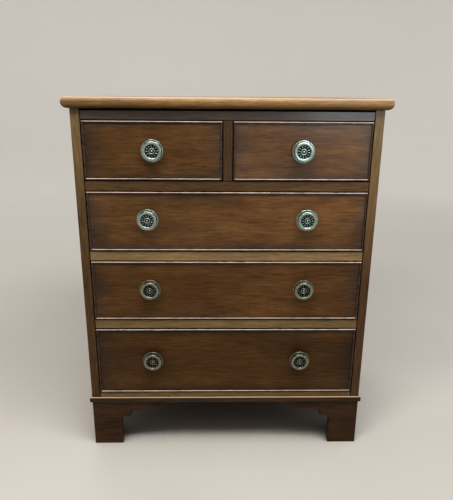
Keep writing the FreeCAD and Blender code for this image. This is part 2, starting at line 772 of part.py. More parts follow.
def make_case(drawers):
    """Everything that stays still."""
    front_depth = (FRONT, RAIL_BACK)
    screws = make_screws()
    muntin_half = "Sizes.muntin_width / 2"
    muntin_x = (f"-{muntin_half}", muntin_half)
    muntin_y = (f"{FRONT} + Sizes.tenon_shoulder", f"{RAIL_BACK} - Sizes.tenon_shoulder")
    muntin_z = (f"{SHORT_FLOOR} - Sizes.muntin_tenon", f"{SHORT_TOP} + Sizes.muntin_tenon")
    tenon_x = (f"-{muntin_half} + Sizes.tenon_shoulder / 2", f"{muntin_half} - Sizes.tenon_shoulder / 2")
    muntin = fuse("Muntin", block("MuntinBoard", muntin_x, front_depth, (SHORT_FLOOR, SHORT_TOP)),
                  block("MuntinTenon", tenon_x, muntin_y, muntin_z))
    node("muntin", muntin)
    rear_depth = (f"({BOARDED} - Sizes.rear_rail_depth)", BOARDED)
    rails = [
        rail("frieze_rail", front_depth, (SHORT_TOP, CASE_TOP), [muntin] + screws),
        rail("rear_top_rail", rear_depth, (SHORT_TOP, CASE_TOP), screws),
        rail("upper_rail", front_depth, (UPPER_TOP, SHORT_FLOOR), [muntin]),
        rail("middle_rail", front_depth, (MIDDLE_TOP, UPPER_FLOOR)),
        rail("lower_rail", front_depth, (LOWER_TOP, MIDDLE_FLOOR)),
        rail("bottom_rail", front_depth, (BASE, LOWER_FLOOR)),
    ]
    tongue = f"({INNER} + Sizes.bottom_tongue)"
    bottom_board = block("BottomBoard", (f"-{tongue}", tongue), (RAIL_BACK, BOARDED),
                         (BASE, f"{BASE} + Sizes.bottom_thick"))
    node("bottom_board", bottom_board)
    back_boards = node("back_boards", make_back())
    runners = node("runners", make_runners())
    for hand, label in ((-1, "left_side"), (1, "right_side")):
        board = block("SideBoard", span(hand, INNER, HALF), (FRONT, BACK), (BASE, CASE_TOP))
        node(label, cut("Side", board, *rails, bottom_board, back_boards, runners))
    node("top_board", cut("Top", make_top(), *screws))
    node("top_screws", group("Screws", screws))
    guide_z = (SHORT_FLOOR, f"{SHORT_FLOOR} + Sizes.guide_height")
    node("centre_guide", block("CentreGuide", muntin_x, (RAIL_BACK, BOARDED), guide_z))
    node("kickers", make_kickers())
    node("drawer_stops", make_stops(drawers))
    node("base_moulding_front", front_moulding())
    node("base_moulding_left", side_moulding(-1))
    node("base_moulding_right", side_moulding(1))
    for at_front, end in ((True, "front"), (False, "rear")):
        for hand, side in ((-1, "left"), (1, "right")):
            node(f"{end}_{side}_foot", make_foot(hand, at_front))
    node("foot_blocks", make_foot_blocks())


def list_drawers():
    """Where each drawer sits, and where its knobs, stops and dovetails go."""
    drawers = []
    for hand, side in ((-1, "left"), (1, "right")):
        centre = f"({hand} * {SHORT_CENTRE})"
        drawers.append(dict(name=f"{side}_short_drawer", centre=centre, floor=SHORT_FLOOR,
                            width=SHORT_WIDTH, height="Sizes.short_height", knobs=[centre],
                            rise="Sizes.short_knob_rise", stops="Sizes.short_stop_spread", tails=3))
    pair = ["-Sizes.knob_spread", "Sizes.knob_spread"]
    for level, floor, tails in (("upper", UPPER_FLOOR, 3), ("middle", MIDDLE_FLOOR, 3),
                                ("lower", LOWER_FLOOR, 4)):
        drawers.append(dict(name=f"{level}_drawer", centre="0", floor=floor, width=f"(2 * {INNER})",
                            height=f"Sizes.{level}_height", knobs=pair, rise="Sizes.knob_rise",
                            stops="Sizes.stop_spread", tails=tails))
    return drawers


def check_document():
    """Stop if any object failed, or any sub-part has no sound solid."""
    doc.recompute()
    for thing in doc.Objects:
        if "Invalid" in thing.State or "Error" in thing.State:
            raise RuntimeError(f"{thing.Name} ({thing.Label}) failed: {thing.State}")
    for thing in nodes:
        if thing.Shape.isNull() or not thing.Shape.isValid() or not thing.Shape.Solids:
            raise RuntimeError(f"{thing.Label} has no valid solid")


def write_parts():
    """Write each sub-part to a STEP file of its own."""
    os.makedirs("parts", exist_ok=True)
    for thing in nodes:
        thing.Shape.exportStep(f"parts/{thing.Label}.step")


all_drawers = list_drawers()
make_case(all_drawers)
for each_drawer in all_drawers:
    make_drawer(each_drawer)
check_document()
write_parts()
print(len(nodes), "sub-parts,", sum(len(thing.Shape.Solids) for thing in nodes), "solids")
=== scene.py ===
import json
import math
import random

import bmesh
import bpy
from bpy.props import FloatProperty, FloatVectorProperty, IntProperty, PointerProperty
from mathutils import Matrix, Vector


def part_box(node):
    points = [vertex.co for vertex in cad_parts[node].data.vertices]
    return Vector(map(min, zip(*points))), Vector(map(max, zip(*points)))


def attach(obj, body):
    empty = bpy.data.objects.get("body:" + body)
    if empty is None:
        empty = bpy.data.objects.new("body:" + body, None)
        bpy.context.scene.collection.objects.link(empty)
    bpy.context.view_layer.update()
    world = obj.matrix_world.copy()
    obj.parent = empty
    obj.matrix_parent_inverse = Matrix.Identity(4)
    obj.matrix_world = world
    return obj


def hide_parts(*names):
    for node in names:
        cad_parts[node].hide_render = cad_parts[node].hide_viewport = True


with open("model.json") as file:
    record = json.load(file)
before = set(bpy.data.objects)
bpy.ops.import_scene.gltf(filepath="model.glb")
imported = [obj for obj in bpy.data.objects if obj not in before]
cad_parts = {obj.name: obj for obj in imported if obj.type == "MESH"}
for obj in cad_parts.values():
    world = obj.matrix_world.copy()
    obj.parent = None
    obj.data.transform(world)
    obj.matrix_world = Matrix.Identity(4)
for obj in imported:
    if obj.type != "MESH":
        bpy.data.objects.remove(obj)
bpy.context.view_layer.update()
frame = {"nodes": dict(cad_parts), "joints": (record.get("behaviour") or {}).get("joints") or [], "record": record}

bl_info = {
    "name": "Chest of Drawers",
    "version": (1, 0, 0),
    "blender": (4, 5, 0),
    "location": "View3D > Sidebar > Chest",
    "description": "Finishes a polished mahogany chest with rosette knobs and lights it in a studio",
    "category": "Object",
}

MM = 0.001
SLOT_OF = {part["node"]: part["material_slot"] for part in frame["record"]["subparts"]}
DRAWERS = [joint["child"] for joint in frame["joints"]]

# Heights between which bleaching sets in: on the stiles, and below the floor for a board bleached all over
STILES_BLEACHED = (0.42, 0.74)
ALL_BLEACHED = (-2.0, -1.0)

# Which way the grain runs, as how much each axis is drawn out: small along the grain
DRAWN_OUT = 0.045
GRAIN_ACROSS = (DRAWN_OUT, 1.0, 1.0)
GRAIN_BACKWARDS = (1.0, DRAWN_OUT, 1.0)
GRAIN_UPRIGHT = (1.0, 1.0, DRAWN_OUT)
GRAIN_LEVEL = (DRAWN_OUT, DRAWN_OUT, 1.0)

# Rounding of the edges that are crisper than the rest
TOP_ARRIS = 0.4 * MM
CRISP_ARRIS = 0.3 * MM

# How far a ledge is painted pale where it faces up, as rubbed and as lit from above, what share of that where it
# is level, and how far it is painted dark below, as shade
NO_WEAR_OR_LIGHT = (0.0, 0.0, 0.0)
TOP_WEAR_AND_LIGHT = (0.75, 0.0, 0.6)
BASE_WEAR_AND_LIGHT = (0.75, 1.0, 0.7)

# How far a painted dark strip of shade and dirt lies in from the borders of a board beside a gap, along each axis
NO_GAP_DIRT_OR_SHADE = (0.0, 0.0, 0.0)
STILE_GAP_DIRT_AND_SHADE = (2.2 * MM, 0.0, 0.0)
MUNTIN_GAP_DIRT_AND_SHADE = (1.8 * MM, 0.0, 0.0)
RAIL_GAP_DIRT_AND_SHADE = (0.0, 0.0, 1.6 * MM)
# Under the top the strip is the painted shadow of its overhang
UNDER_TOP_SHADE_AND_DIRT = (0.0, 0.0, 4.5 * MM)

# Pore black, the black of painted shade with dirt, and the brown of painted shade with dust, as linear light
PORE_BLACK = (0.008, 0.004, 0.002)
SHADE_AND_DIRT_BLACK = (0.004, 0.002, 0.0015)
DUST_AND_SHADE_BROWN = (0.03, 0.02, 0.012)

# How fine the pores of the plain woods are
OAK_PORES = 900.0
PINE_PORES = 1500.0

# Each rail's tone and how far it is bleached
MUNTIN_LOOK = (-0.22, 0.08)
RAIL_LOOKS = {
    "upper_rail": (-0.1, 0.08),
    "middle_rail": (0.42, 0.5),
    "lower_rail": (0.32, 0.34),
    "bottom_rail": (0.68, 0.28),
}

# The tones of the two sides, which are bleached alike, and of the base moulding; the right side is a little
# lighter, partly painted light from the right
LEFT_TONE = 0.02
RIGHT_TONE = 0.12
SIDE_FADE = 0.4
BASE_TONE = -0.45

# Each drawer's tone, gloss and cloudiness, and how far the brass of its knobs has dulled; the lower drawers are
# darker and their knobs duller, partly painted shade, as less light reaches them
DRAWER_LOOKS = {
    "left_short_drawer": (-0.07, 0.8, 1.9, 0.3),
    "right_short_drawer": (0.04, 3.6, 1.9, 0.15),
    "upper_drawer": (0.12, 1.7, 1.9, 0.3),
    "middle_drawer": (-0.06, 0.2, 1.2, 0.75),
    "lower_drawer": (-0.31, 0.0, 1.2, 0.85),
}

# The screw behind a knob and its square nut, which is measured from its middle to a corner
STUD_RADIUS = 3 * MM
NUT_CORNER = 8 * MM
NUT_THICK = 5 * MM
FIXING_CHAMFER = 0.5 * MM

# Each lamp's place, the point that it faces, its width and height, its tint and how far its light fans out
WARM = (1.0, 0.97, 0.92)
COOL = (0.78, 0.88, 1.0)
MIDDLE = (0.0, -0.1, 0.45)
ALL_ROUND = math.radians(180)
NARROW = math.radians(30)
LAMPS = {
    "key": ((0.3, -2.4, 2.7), MIDDLE, (1.8, 1.3), WARM, ALL_ROUND),
    "ceiling": ((0.1, -0.78, 1.8), (0.0, -0.3, 0.4), (1.9, 0.35), WARM, ALL_ROUND),
    "window": ((0.72, -1.9, 1.0), (0.3, -0.2, 0.9), (0.5, 0.7), COOL, NARROW),
    "back": ((-0.7, 1.9, 2.5), MIDDLE, (2.0, 1.4), WARM, ALL_ROUND),
    "right": ((2.4, -0.25, 1.3), MIDDLE, (1.2, 1.4), COOL, ALL_ROUND),
    "left": ((-2.4, -0.1, 1.3), MIDDLE, (1.2, 1.4), WARM, ALL_ROUND),
}


def paint(red, green, blue):
    """A colour as a screen shows it, 0 to 255, turned into the linear light that shaders use."""
    shown = (red / 255, green / 255, blue / 255)
    return tuple(c / 12.92 if c <= 0.04045 else ((c + 0.055) / 1.055) ** 2.4 for c in shown)


def colour(name, description, default):
    """A colour that a user may change."""
    return FloatVectorProperty(
        name=name, description=description, default=default, subtype="COLOR", min=0.0, max=1.0)


def length(name, description, default):
    """A length that a user may change."""
    return FloatProperty(
        name=name, description=description, default=default, unit="LENGTH", min=0.0, precision=5)


def angle(name, description, degrees):
    """An angle that a user may change."""
    return FloatProperty(
        name=name, description=description, default=math.radians(degrees), subtype="ANGLE", unit="ROTATION")


def share(name, description, default):
    """A part of a whole that a user may change."""
    return FloatProperty(
        name=name, description=description, default=default, subtype="FACTOR", min=0.0, max=1.0)


def power(name, description, watts):
    """The power of a lamp that a user may change."""
    return FloatProperty(name=name, description=description, default=watts, unit="POWER", min=0.0)


def spot(name, description, default):
    """A place in the room that a user may change."""
    return FloatVectorProperty(
        name=name, description=description, default=default, subtype="TRANSLATION", unit="LENGTH")


class ChestTimber(bpy.types.PropertyGroup):
    """The timbers: the show wood of the outside and the plain woods behind it"""

    front_dark: colour("Drawer front, dark", "Dark streaks of the drawer fronts", paint(72, 45, 21))
    front_light: colour("Drawer front, light", "Light streaks of the drawer fronts", paint(106, 73, 38))
    case_dark: colour("Case, dark", "Dark streaks of the sides and rails", paint(46, 28, 12))
    case_light: colour("Case, light", "Light streaks of the sides and rails", paint(94, 64, 32))
    # The frieze is darker and greyer than the case: its own tone, with painted shade from the top's overhang and a
    # painted grey sheen in part
    frieze_dark: colour("Frieze, dark", "Dark streaks of the rail under the top", paint(40, 29, 21))
    frieze_light: colour("Frieze, light", "Light streaks of the rail under the top", paint(74, 57, 43))
    top_dark: colour("Top, dark", "Dark streaks of the top", paint(98, 66, 30))
    top_light: colour("Top, light", "Light streaks of the top", paint(150, 112, 60))
    feet_dark: colour("Feet, dark", "Dark streaks of the bracket feet", paint(37, 22, 12))
    feet_light: colour("Feet, light", "Light streaks of the bracket feet", paint(74, 50, 30))
    bead_dark: colour("Cock bead, dark", "Dark streaks of the beads round the drawers", paint(44, 27, 18))
    # The light bead colour is rubbed wood and a painted highlight on the beads' upper noses
    bead_light: colour("Cock bead, light", "Bare wood on the rubbed beads", paint(224, 203, 186))
    faded: colour("Faded", "Sides and rails where light has bleached them", paint(146, 124, 86))
    # The worn colour is rubbed wood and a painted highlight, laid where ledges face up
    worn: colour("Worn", "Bare wood on the rubbed edges of the top and the base", paint(230, 194, 152))
    oak_dark: colour("Oak, dark", "Dark streaks of the drawer linings", paint(112, 84, 52))
    oak_light: colour("Oak, light", "Light streaks of the drawer linings", paint(170, 136, 92))
    pine_dark: colour("Pine, dark", "Dark streaks of the hidden boards", paint(120, 84, 48))
    pine_light: colour("Pine, light", "Light streaks of the hidden boards", paint(182, 142, 92))
    front_polish: share("Drawer front polish", "How much clear polish lies on the drawer fronts", 0.05)
    case_polish: share("Case polish", "How much clear polish lies on the sides and rails", 0.08)
    frieze_polish: share("Frieze polish", "How much clear polish lies on the rail under the top", 0.3)
    top_polish: share("Top polish", "How much clear polish lies on the top", 0.22)
    feet_polish: share("Feet polish", "How much clear polish lies on the feet", 0.0)
    bead_polish: share("Cock bead polish", "How much clear polish lies on the beads", 0.06)
    arris: length("Arris", "Rounding worn onto the edges of the boards", 0.7 * MM)


class ChestBrass(bpy.types.PropertyGroup):
    """The cast rosette knobs"""

    bright: colour("Worn brass", "Brass where hands keep it clean", paint(168, 190, 184))
    tarnish: colour("Tarnish", "Brass that has dulled", paint(116, 108, 86))
    dirt: colour("Dirt", "Wax and dirt in the hollows", paint(16, 20, 18))
    petals: IntProperty(name="Petals", description="Petals round the rosette", default=12, min=3)
    flange_front: length("Flange front", "How far the front of the flange stands off the drawer", 14.5 * MM)
    flange_edge: length("Flange edge", "Thickness of the flange", 2.5 * MM)
    rim_radius: length("Rim radius", "Radius of the raised rim", 19.4 * MM)
    rim_width: length("Rim width", "Width of the raised rim", 5.8 * MM)
    rim_crown: length("Rim crown", "How far the middle of the rim stands above its edges", 1.6 * MM)
    rim_hollow: length("Rim hollow", "Radius of the hollow between the flange and the rim", 0.9 * MM)
    field_depth: length("Field depth", "Depth of the rosette's field below the rim", 3.8 * MM)
    petal_height: length("Petal height", "How far the petals stand out of the field", 2.2 * MM)
    petal_width: length("Petal width", "Width of a petal where it is broadest", 4.2 * MM)
    boss_radius: length("Boss radius", "Radius of the round boss in the middle", 2.5 * MM)
    collar_radius: length("Collar radius", "Radius of the ring round the boss", 5.2 * MM)
    neck_radius: length("Neck radius", "Radius of the neck behind the knob", 7.5 * MM)
    plate_radius: length("Plate radius", "Radius of the plate against the drawer", 15.5 * MM)
    plate_thick: length("Plate thickness", "Thickness of the plate against the drawer", 2.5 * MM)


class ChestStudio(bpy.types.PropertyGroup):
    """The floor, the lamps and the camera"""

    floor: colour("Floor", "Colour of the floor and the wall that it curves into", paint(214, 210, 203))
    eye: spot("Camera place", "Where the camera stands", (-0.0222, -1.2282, 0.7975))
    yaw: angle("Camera turn", "How far the camera turns to its right", 1.16)
    pitch: angle("Camera tilt", "How far the camera looks down", 17.0)
    roll: angle("Camera roll", "How far the camera leans", 0.44)
    lens: FloatProperty(
        name="Lens", description="Focal length of the camera", default=36.5, unit="CAMERA", min=1.0)
    backdrop: share("Backdrop", "How much brighter the far floor and wall are seen than lit", 0.62)
    key: power("Key lamp", "Power of the large lamp in front", 8.0)
    ceiling: power("Ceiling lamp", "Power of the long lamp above the top's front edge", 31.0)
    window: power("Window lamp", "Power of the cool lamp in front to the right", 0.34)
    back: power("Back lamp", "Power of the large lamp behind and above", 26.0)
    right: power("Right lamp", "Power of the cool lamp at the right", 12.0)
    left: power("Left lamp", "Power of the warm lamp at the left", 9.0)
    daylight: share("Daylight", "Strength of the even light from all round", 0.08)


class Bench:
    """One material being made, with short ways to add the nodes that it needs."""

    def __init__(self, name):
        self.material = bpy.data.materials.new(name)
        self.material.use_nodes = True
        self.tree = self.material.node_tree
        self.surface = self.tree.nodes["Principled BSDF"]

    def put(self, socket, value):
        """Joins a socket to another node's output, or sets its value."""
        if isinstance(value, bpy.types.NodeSocket):
            self.tree.links.new(value, socket)
        elif socket.type == "RGBA":
            socket.default_value = (*value, 1.0)
        else:
            socket.default_value = value

    def add(self, kind, output, sockets=None, **settings):
        """Adds a node and returns the output that is wanted from it."""
        made = self.tree.nodes.new(kind)
        for setting, value in settings.items():
            setattr(made, setting, value)
        for socket, value in (sockets or {}).items():
            self.put(made.inputs[socket], value)
        return made.outputs[output]

    def finish(self, **sockets):
        """Sets the shader's own sockets and returns the material."""
        for socket, value in sockets.items():
            self.put(self.surface.inputs[socket.replace("_", " ")], value)
        return self.material

    def board(self, name):
        """A vector that each board carries for itself."""
        return self.add("ShaderNodeAttribute", "Vector", attribute_type="OBJECT", attribute_name=name)

    def number(self, name, kind):
        """A number that each board or each point carries for itself."""
        return self.add("ShaderNodeAttribute", "Fac", attribute_type=kind, attribute_name=name)

    def axes(self, vector):
        """The three numbers of a vector."""
        split = self.tree.nodes.new("ShaderNodeSeparateXYZ")
        self.put(split.inputs[0], vector)
        return split.outputs

    def vector(self, operation, first, second):
        return self.add("ShaderNodeVectorMath", 0, {0: first, 1: second}, operation=operation)

    def scaled(self, vector, factor):
        return self.add("ShaderNodeVectorMath", 0, {0: vector, "Scale": factor}, operation="SCALE")

    def maths(self, operation, first, second):
        return self.add("ShaderNodeMath", 0, {0: first, 1: second}, operation=operation)

    def blend_sum(self, *parts):
        """The sum of several numbers, each times its own weight."""
        total = 0.0
        for value, weight in parts:
            total = self.add(
                "ShaderNodeMath", 0, {0: value, 1: weight, 2: total}, operation="MULTIPLY_ADD")
        return total

    def noise(self, place, scale, detail=2.0, roughness=0.5, output="Fac"):
        sockets = {"Vector": place, "Scale": scale, "Detail": detail, "Roughness": roughness}
        return self.add("ShaderNodeTexNoise", output, sockets)

    def remap(self, value, low, high, bottom=0.0, top=1.0):
        """Turns low to high into bottom to top, and keeps within them."""
        sockets = {"Value": value, "From Min": low, "From Max": high, "To Min": bottom, "To Max": top}
        return self.add("ShaderNodeMapRange", "Result", sockets)

    def mix(self, factor, first, second):
        """A colour between two others. Sockets 0, 6 and 7 are the factor and the two colours."""
        sockets = {0: factor, 6: first, 7: second}
        return self.add("ShaderNodeMix", 2, sockets, data_type="RGBA")

    def bump(self, height, distance, strength):
        sockets = {"Height": height, "Distance": distance, "Strength": strength}
        return self.add("ShaderNodeBump", "Normal", sockets)

    def worn_edge(self, radius):
        """0 on the flat and 1 on an edge, from how far a rounded normal leans away."""
        rounded = self.add("ShaderNodeBevel", "Normal", {"Radius": radius}, samples=4)
        flat = self.add("ShaderNodeNewGeometry", "Normal")
        lean = self.add("ShaderNodeVectorMath", "Value", {0: rounded, 1: flat}, operation="DOT_PRODUCT")
        return self.remap(lean, 0.995, 0.86)

    def corner_dirt(self, reach):
        """1 deep in a corner and 0 in the open, from ambient occlusion: painted shade, taken also for dirt."""
        opening = self.add("ShaderNodeAmbientOcclusion", "AO", {"Distance": reach}, samples=6)
        return self.remap(opening, 0.85, 0.3)


# Timbers

def figure(bench, place, wander):
    """Where the grain runs, and how light the wood is there: ribbons, long streaks and short dashes."""
    place = bench.vector("ADD", place, bench.board("board_shift"))
    sway = bench.noise(place, 4.5, 2.0, 0.5, "Color")
    sway = bench.vector("SUBTRACT", sway, (0.5, 0.5, 0.5))
    sway = bench.vector("MULTIPLY", sway, (wander, wander, wander))
    place = bench.vector("ADD", place, sway)
    along = bench.vector("MULTIPLY", place, bench.board("grain_stretch"))
    short = bench.vector("ADD", bench.scaled(place, 0.05), bench.scaled(along, 0.95))
    light = bench.blend_sum(
        (bench.noise(along, 55.0, 2.0, 0.5), 0.18),
        (bench.noise(along, 480.0, 4.0, 0.65), 0.5),
        (bench.noise(short, 260.0, 1.0, 0.5), 0.32))
    return place, along, light


def from_borders(bench, place):
    """How far a point lies in from the low and from the high borders of its board, along each axis."""
    from_low = bench.vector("SUBTRACT", place, bench.board("board_low"))
    from_high = bench.vector("SUBTRACT", bench.board("board_high"), place)
    return from_low, from_high


def border_grime(bench, place, cloud):
    """1 at the border of a board's face and 0 some way inside, with a ragged inner edge.

    It reaches further in from the ends than from the long edges.
    """
    reach = 36 * MM
    ragged = (-8 * MM, 14 * MM)
    from_ends = 0.75
    from_edges = 1.8
    inside = bench.axes(bench.vector("MINIMUM", *from_borders(bench, place)))
    far_in = bench.maths(
        "MINIMUM", bench.maths("MULTIPLY", inside["X"], from_ends),
        bench.maths("MULTIPLY", inside["Z"], from_edges))
    uneven = bench.remap(cloud, 0.3, 0.7, *ragged)
    darkening = bench.remap(bench.maths("ADD", far_in, uneven), reach, 0.0)
    return bench.maths("MULTIPLY", darkening, bench.number("wax_border", "OBJECT"))


def gap_dirt(bench, place):
    """1 on the narrow strip of a board beside a gap, painted dark as shade falls there and dirt is rubbed in, and
    0 elsewhere.
    """
    blur = 0.7 * MM
    from_low, from_high = from_borders(bench, place)
    over_low = bench.vector("SUBTRACT", bench.board("dirt_low"), from_low)
    over_high = bench.vector("SUBTRACT", bench.board("dirt_high"), from_high)
    over = bench.axes(bench.vector("MAXIMUM", over_low, over_high))
    return bench.remap(bench.maths("MAXIMUM", over["X"], over["Z"]), 0.0, blur)


def bleaching(bench, place, figure_light):
    """How faded a board is: so much in all, reached between two heights, and more in its light streaks."""
    fade = bench.axes(bench.board("board_fade"))
    height = bench.remap(bench.axes(place)["Z"], fade["Y"], fade["Z"])
    streaky = bench.remap(figure_light, 0.36, 0.64, 0.75, 1.25)
    return bench.maths("MULTIPLY", bench.maths("MULTIPLY", fade["X"], height), streaky)


def ledge_wear(bench):
    """How far a ledge is painted pale where it faces up, rubbed wood with a painted highlight, and how far it is
    painted dark where it faces down, a painted shade.

    The board says how pale in all, what share of that where it is level, and how dark below.
    """
    wear = bench.axes(bench.board("ledge_wear"))
    upward = bench.axes(bench.add("ShaderNodeNewGeometry", "Normal"))["Z"]
    level = bench.remap(upward, 0.93, 0.995, 1.0, wear["Y"])
    bare_and_highlit = bench.maths("MULTIPLY", bench.remap(upward, 0.55, 0.92), level)
    bare_and_highlit = bench.maths("MULTIPLY", bare_and_highlit, wear["X"])
    return bare_and_highlit, bench.maths("MULTIPLY", bench.remap(upward, -0.25, -0.9), wear["Z"])


def mahogany(name, dark, light, timber):
    """Old polished mahogany: ribbon figure, dark pores along the grain, cloudy colour, rubbed edges, and painted
    light: ledges pale where they face up and dark below, dark gap strips and corners.
    """
    edge_reach = 2.2 * MM
    corner_reach = 4 * MM
    relief = 0.12 * MM
    bench = Bench(name)
    spot_here = bench.add("ShaderNodeTexCoord", "Object")
    place, along, figure_light = figure(bench, spot_here, 0.014)
    tint = bench.mix(bench.remap(figure_light, 0.36, 0.64), dark, light)
    tint = bench.mix(bleaching(bench, spot_here, figure_light), tint, timber.faded)
    drawn_out = bench.vector("ADD", bench.scaled(place, 0.35), bench.scaled(along, 0.65))
    cloud = bench.noise(drawn_out, 11.0, 4.0, 0.6)
    darkening = border_grime(bench, spot_here, cloud)
    cloudy = bench.remap(cloud, 0.3, 0.72, -0.3, 0.28)
    cloudy = bench.maths("MULTIPLY", cloudy, bench.number("cloudiness", "OBJECT"))
    tone = bench.maths("ADD", bench.number("board_tone", "OBJECT"), 1.0)
    shade = bench.maths("MULTIPLY", bench.maths("ADD", cloudy, 1.0), tone)
    # Darker and duller towards the borders of the face.
    shade = bench.maths("MULTIPLY", shade, bench.remap(darkening, 0.0, 1.0, 1.0, 0.55))
    tint = bench.add(
        "ShaderNodeHueSaturation", "Color",
        {"Saturation": bench.remap(darkening, 0.0, 1.0, 1.0, 0.8), "Value": shade, "Color": tint})
    pore = bench.remap(bench.noise(along, 1250.0, 1.5, 0.6), 0.56, 0.68)
    tint = bench.mix(bench.maths("MULTIPLY", pore, 0.5), tint, PORE_BLACK)
    scuff = bench.noise(place, 95.0, 3.0, 0.7)
    rubbed = bench.maths("MULTIPLY", bench.worn_edge(edge_reach), bench.remap(scuff, 0.4, 0.7, 0.1, 0.5))
    tint = bench.mix(rubbed, tint, light)
    bare_and_highlit, dirt_and_shade = ledge_wear(bench)
    # Painted highlight, with wear: where a ledge faces up it goes pale.
    tint = bench.mix(bare_and_highlit, tint, timber.worn)
    # Painted shade and dirt on the strips beside the gaps.
    dirt_and_shade = bench.maths("MAXIMUM", dirt_and_shade, gap_dirt(bench, spot_here))
    # Painted shade in corners, with dirt, from how closed in a point is.
    dirt_and_shade = bench.maths("MAXIMUM", dirt_and_shade, bench.maths("MULTIPLY", bench.corner_dirt(corner_reach), 0.7))
    # Painted shade with dirt: undersides, gap strips and corners go towards black.
    tint = bench.mix(dirt_and_shade, tint, SHADE_AND_DIRT_BLACK)
    dullness = bench.blend_sum((bench.remap(cloud, 0.3, 0.7, 0.33, 0.45), 1.0), (pore, 0.15))
    height = bench.maths("SUBTRACT", bench.maths("MULTIPLY", figure_light, 0.5), pore)
    # Less polish shows where the painted shade and dirt lie.
    clean = bench.maths("SUBTRACT", 1.0, dirt_and_shade)
    gleam = bench.maths("MULTIPLY", clean, bench.number("board_polish", "OBJECT"))
    return bench.finish(
        Base_Color=tint, Roughness=dullness, Normal=bench.bump(height, relief, 0.5),
        Specular_IOR_Level=bench.blend_sum((gleam, 0.8), (clean, 0.08)),
        Coat_Weight=gleam, Coat_Roughness=0.16)


def rubbed_bead(name, dark, bare_and_highlit, polish):
    """The thin bead round a drawer: dark polish in its sides, rubbed pale on its nose, with a painted highlight
    where the nose faces up.
    """
    nose_edge = 2.6 * MM
    nose_top = 0.9 * MM
    relief = 0.05 * MM
    bench = Bench(name)
    spot_here = bench.add("ShaderNodeTexCoord", "Object")
    place, _, figure_light = figure(bench, spot_here, 0.005)
    proud = bench.axes(bench.vector("SUBTRACT", spot_here, bench.board("board_low")))["Y"]
    scuff = bench.noise(place, 38.0, 4.0, 0.7)
    nose = bench.remap(proud, nose_edge, nose_top)
    nose = bench.maths("MULTIPLY", nose, bench.remap(scuff, 0.3, 0.65, 0.5, 1.0))
    upward = bench.axes(bench.add("ShaderNodeNewGeometry", "Normal"))["Z"]
    # Painted highlight: the nose is paler where it faces up, and only a little on the upright beads.
    worn = bench.maths("MULTIPLY", nose, bench.remap(upward, 0.25, 0.65, 0.04, 1.0))
    return bench.finish(
        Base_Color=bench.mix(worn, dark, bare_and_highlit), Roughness=bench.remap(scuff, 0.3, 0.7, 0.22, 0.36),
        Normal=bench.bump(figure_light, relief, 0.12),
        Specular_IOR_Level=0.12 + 0.8 * polish, Coat_Weight=polish, Coat_Roughness=0.12)


def plain_wood(name, dark, light, pore_scale):
    """Unpolished wood for the linings: open grain, dry and dull."""
    corner_reach = 12 * MM
    relief = 0.15 * MM
    bench = Bench(name)
    place, along, figure_light = figure(bench, bench.add("ShaderNodeTexCoord", "Object"), 0.03)
    tint = bench.mix(bench.remap(figure_light, 0.34, 0.66), dark, light)
    cloud = bench.noise(place, 6.0, 3.0, 0.6)
    shade = bench.remap(cloud, 0.3, 0.7, 0.78, 1.1)
    tint = bench.add("ShaderNodeHueSaturation", "Color", {"Value": shade, "Color": tint})
    pore = bench.remap(bench.noise(along, pore_scale, 1.5, 0.6), 0.57, 0.7)
    tint = bench.mix(bench.maths("MULTIPLY", pore, 0.4), tint, dark)
    # Painted shade in the linings' corners, with dust.
    tint = bench.mix(bench.maths("MULTIPLY", bench.corner_dirt(corner_reach), 0.5), tint, DUST_AND_SHADE_BROWN)
    height = bench.maths("SUBTRACT", figure_light, pore)
    return bench.finish(
        Base_Color=tint, Roughness=bench.remap(cloud, 0.3, 0.7, 0.62, 0.78),
        Normal=bench.bump(height, relief, 0.6), Specular_IOR_Level=0.3)


# Metals

def aged_brass(settings):
    """Cast brass: clean where it is handled, dull elsewhere and black with old wax in the hollows."""
    relief = 0.05 * MM
    bench = Bench("aged_brass")
    place = bench.add("ShaderNodeTexCoord", "Object")
    hollow = bench.number("hollow", "GEOMETRY")
    mottle = bench.noise(place, 420.0, 3.0, 0.6)
    # Painted shade in part: the lower drawers' knobs are made duller, as less light reaches them.
    dulling = bench.number("dulling", "OBJECT")
    patches = bench.maths("ADD", bench.remap(mottle, 0.35, 0.65, -0.3, 0.3), dulling)
    dulled = bench.mix(bench.remap(patches, 0.0, 1.0), settings.bright, settings.tarnish)
    uneven = bench.remap(mottle, 0.3, 0.7, -0.18, 0.18)
    clogged = bench.blend_sum((hollow, 1.0), (dulling, 0.2), (uneven, 1.0))
    filth = bench.remap(clogged, 0.3, 0.8)
    tint = bench.mix(filth, dulled, settings.dirt)
    dullness = bench.remap(bench.blend_sum((filth, 0.6), (mottle, 1.0)), 0.3, 1.1, 0.12, 0.55)
    grit = bench.noise(place, 1900.0, 2.0, 0.6)
    return bench.finish(
        Base_Color=tint, Metallic=bench.remap(filth, 0.0, 1.0, 1.0, 0.25), Roughness=dullness,
        Normal=bench.bump(grit, relief, 0.3), Specular_IOR_Level=0.1)


def dull_steel():
    """Old wood screws: grey steel gone brown in patches."""
    bench = Bench("dull_steel")
    place = bench.add("ShaderNodeTexCoord", "Object")
    rust = bench.remap(bench.noise(place, 260.0, 3.0, 0.6), 0.45, 0.65)
    grey = paint(132, 130, 126)
    brown = paint(92, 66, 48)
    tint = bench.mix(rust, grey, brown)
    return bench.finish(
        Base_Color=tint, Metallic=bench.remap(rust, 0.0, 1.0, 0.9, 0.3),
        Roughness=bench.remap(rust, 0.0, 1.0, 0.4, 0.7))


